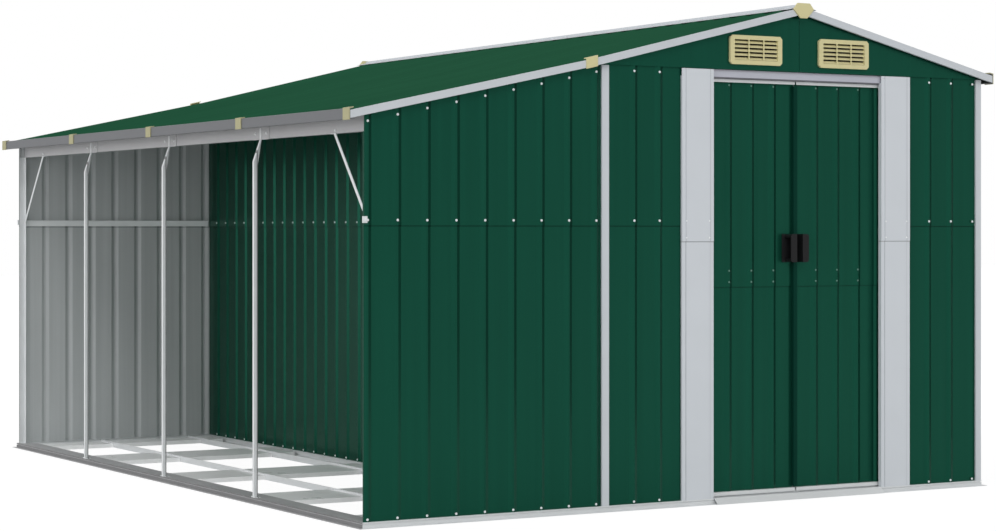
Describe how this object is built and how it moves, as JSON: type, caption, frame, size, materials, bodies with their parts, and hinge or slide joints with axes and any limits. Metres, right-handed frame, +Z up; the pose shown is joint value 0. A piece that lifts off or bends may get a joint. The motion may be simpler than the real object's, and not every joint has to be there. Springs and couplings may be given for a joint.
{
  "type": "metal storage shed with lean-to",
  "caption": "Green ribbed steel shed with a grey-trimmed gable roof, sliding double doors and an open-sided lean-to on slim posts.",
  "frame": {"origin": "middle of the bounding box at ground level", "axes": "+X right along the front, +Y back along the ridge, +Z up"},
  "size_m": [2.7306, 3.4456, 1.786],
  "materials": {
    "wall_green": "satin",
    "roof_green": "satin",
    "trim_grey": "satin",
    "clip_beige": "matte",
    "zinc_frame": "satin",
    "handle_black": "matte"
  },
  "bodies": {
    "shed": {"base_rails_ends": "zinc_frame", "base_rails_sides": "zinc_frame", "base_rail_middle": "zinc_frame", "floor_beams": "zinc_frame", "floor_plates": "zinc_frame", "threshold": "zinc_frame", "leanto_front_wall": "wall_green", "leanto_back_wall": "wall_green", "leanto_end_posts": "zinc_frame", "open_side_posts": "zinc_frame", "eaves_beam": "zinc_frame", "corner_braces": "zinc_frame", "middle_rails": "zinc_frame", "top_rails": "zinc_frame", "shed_left_wall": "wall_green", "shed_right_wall": "wall_green", "shed_back_wall": "wall_green", "front_wall_left": "wall_green", "front_wall_right": "wall_green", "door_jambs": "trim_grey", "front_gable": "wall_green", "back_gable": "wall_green", "gable_vents": "clip_beige", "seam_strips": "trim_grey", "corner_strips": "trim_grey", "roof_purlins": "zinc_frame", "roof_sheet_leanto": "roof_green", "roof_sheet_left": "roof_green", "roof_sheet_right": "roof_green", "ridge_cap": "trim_grey", "rake_trims": "trim_grey", "eave_trims": "trim_grey", "ridge_end_caps": "clip_beige", "rake_clips": "clip_beige", "eave_clips": "clip_beige", "door_header": "zinc_frame", "door_sill": "zinc_frame"},
    "left_door": {"left_door_panel": "wall_green", "left_door_frame": "zinc_frame", "left_door_handle": "handle_black", "door_cover_strip": "wall_green"},
    "right_door": {"right_door_panel": "wall_green", "right_door_frame": "zinc_frame", "right_door_handle": "handle_black"}
  },
  "joints": [
    {"name": "left_door_slide", "type": "slide", "parent": "shed", "child": "left_door", "axis": [-1, 0, 0], "range_m": [0, 0.31]},
    {"name": "right_door_slide", "type": "slide", "parent": "shed", "child": "right_door", "axis": [1, 0, 0], "range_m": [0, 0.31]}
  ]
}
